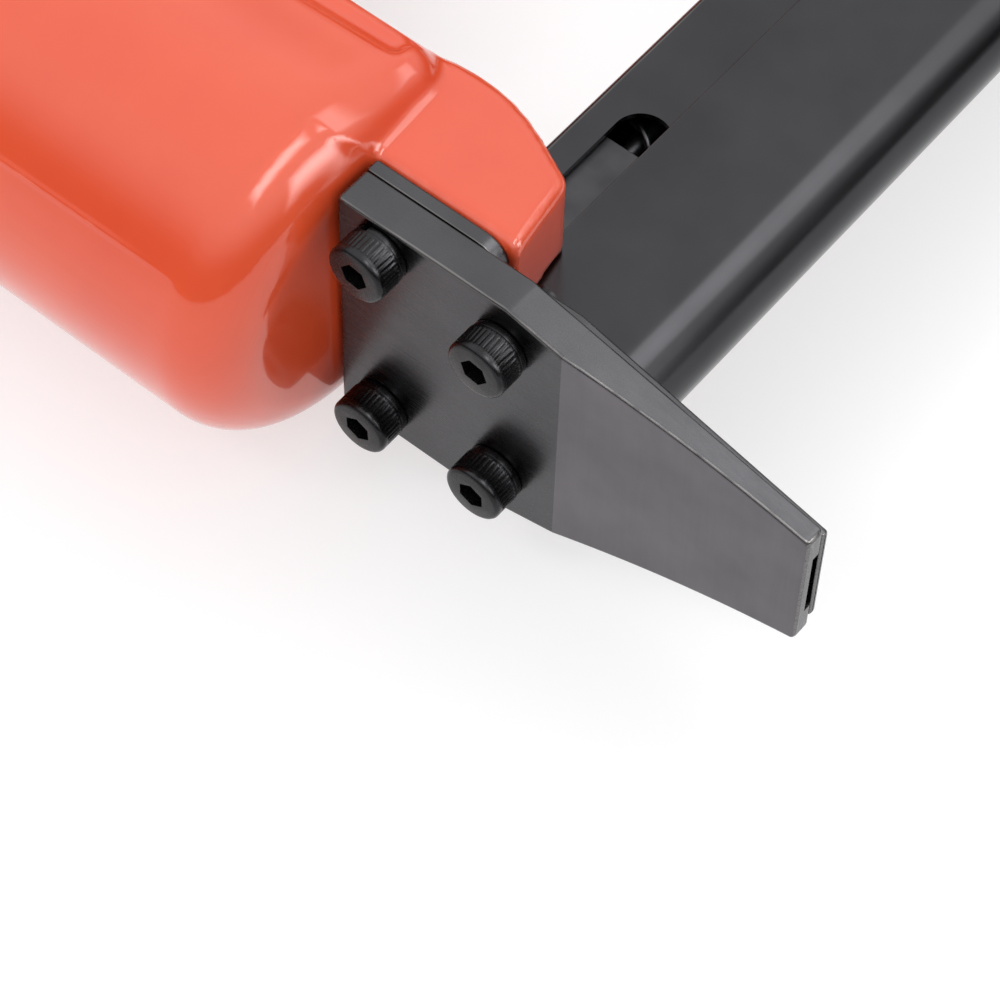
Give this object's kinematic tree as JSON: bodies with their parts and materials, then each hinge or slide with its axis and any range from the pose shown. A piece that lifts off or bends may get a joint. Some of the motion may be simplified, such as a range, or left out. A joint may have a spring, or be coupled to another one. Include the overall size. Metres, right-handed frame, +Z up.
{
  "type": "pneumatic upholstery stapler",
  "caption": "Air-driven fine-wire stapler with a long tapered nose, a pistol-style housing and handle, and a bottom-loading channel magazine with a sliding cover.",
  "frame": {"origin": "middle of the footprint of the tool as it lies on its right side on a flat surface", "axes": "+X runs back along the handle and magazine, +Y from the nose tip up the driver to the cylinder's cap, +Z up, out of the tool's left side"},
  "size_m": [0.2298, 0.1662, 0.0465],
  "materials": {
    "coral_paint": "gloss coral-red paint on die-cast aluminium",
    "black_steel": "black-oxided steel with a fine ground grain",
    "black_screw": "black-oxided fastener steel, satin",
    "bright_steel": "bright hardened or plated steel",
    "black_casting": "black semi-matte paint on die-cast aluminium",
    "black_plastic": "moulded acetal or glass-filled nylon",
    "plain_aluminium": "machined and anodised",
    "valve_brass": "turned brass",
    "seal_rubber": "nitrile rubber",
    "guard_rubber": "moulded matte rubber",
    "bumper_urethane": "cast amber urethane",
    "gasket_fibre": "fibre gasket sheet"
  },
  "bodies": {
    "housing": {"body_casting": "coral_paint", "front_nose_plate": "black_steel", "guide_plate": "black_steel", "cylinder_sleeve": "plain_aluminium", "sleeve_o_ring": "seal_rubber", "bumper": "bumper_urethane", "head_valve_spring": "bright_steel", "cap_gasket": "gasket_fibre", "cylinder_cap": "black_casting", "deflector_screw": "black_screw", "trigger_pin": "bright_steel", "trigger_valve_body": "valve_brass", "valve_o_ring": "seal_rubber", "stem_spring": "bright_steel", "rear_end_cap": "black_casting", "rear_guard": "guard_rubber", "air_plug": "bright_steel", "magazine_rail": "black_steel", "pusher_rod": "bright_steel", "pusher_spring": "bright_steel", "magazine_end_block": "black_casting", "hanger_bracket": "black_steel", "magazine_screw": "black_screw", "nose_screw_upper_left": "black_screw", "spring_washer_upper_left": "black_screw", "nose_screw_upper_right": "black_screw", "spring_washer_upper_right": "black_screw", "nose_screw_lower_left": "black_screw", "spring_washer_lower_left": "black_screw", "nose_screw_lower_right": "black_screw", "spring_washer_lower_right": "black_screw", "cap_screw_1": "black_screw", "end_cap_screw_1": "black_screw", "cap_screw_2": "black_screw", "end_cap_screw_2": "black_screw", "cap_screw_3": "black_screw", "end_cap_screw_3": "black_screw", "cap_screw_4": "black_screw", "end_cap_screw_4": "black_screw", "bracket_screw_1": "black_screw", "bracket_screw_2": "black_screw"},
    "trigger": {"trigger": "black_plastic"},
    "valve_stem": {"valve_stem": "bright_steel"},
    "driver": {"piston": "plain_aluminium", "piston_o_ring": "seal_rubber", "driver_blade": "bright_steel", "driver_pin": "bright_steel"},
    "head_valve": {"head_valve": "black_plastic"},
    "magazine_cover": {"magazine_cover": "black_steel", "staple_guide": "bright_steel", "cover_grip": "black_casting", "latch_pin": "bright_steel", "latch_spring": "bright_steel"},
    "latch": {"latch_lever": "black_steel"},
    "pusher": {"pusher": "bright_steel"},
    "deflector": {"exhaust_deflector": "black_plastic"}
  },
  "joints": [
    {"name": "trigger_hinge", "type": "hinge", "parent": "housing", "child": "trigger", "pos_m": [-0.06273, 0.01605, 0.02325], "axis": [0, 0, 1], "range_deg": [0, 9], "stiffness_Nm_per_rad": 0.3, "springref_deg": -11.46},
    {"name": "stem_slide", "type": "slide", "parent": "housing", "child": "valve_stem", "axis": [0, 1, 0], "range_m": [0, 0.00203], "deforming": ["stem_spring"]},
    {"name": "driver_slide", "type": "slide", "parent": "housing", "child": "driver", "axis": [0, -1, 0], "range_m": [0, 0.0451]},
    {"name": "head_valve_slide", "type": "slide", "parent": "housing", "child": "head_valve", "axis": [0, 1, 0], "range_m": [0, 0.003], "stiffness_N_per_m": 400, "springref_m": -0.004, "deforming": ["head_valve_spring"]},
    {"name": "cover_slide", "type": "slide", "parent": "housing", "child": "magazine_cover", "axis": [1, 0, 0], "range_m": [0, 0.11]},
    {"name": "latch_hinge", "type": "hinge", "parent": "magazine_cover", "child": "latch", "pos_m": [0.10193, -0.03255, 0.02325], "axis": [0, 0, -1], "range_deg": [0, 16], "stiffness_Nm_per_rad": 0.05, "springref_deg": -17.19, "deforming": ["latch_spring"]},
    {"name": "pusher_slide", "type": "slide", "parent": "housing", "child": "pusher", "axis": [1, 0, 0], "range_m": [0, 0.105], "stiffness_N_per_m": 60, "springref_m": -0.05, "deforming": ["pusher_spring"]},
    {"name": "deflector_turn", "type": "hinge", "parent": "housing", "child": "deflector", "pos_m": [-0.09168, 0.0749, 0.02325], "axis": [0, 1, 0], "continuous": true}
  ],
  "couplings": [
    {"joint": "trigger_hinge", "follows": "stem_slide", "rad_per_m": 77.2}
  ]
}
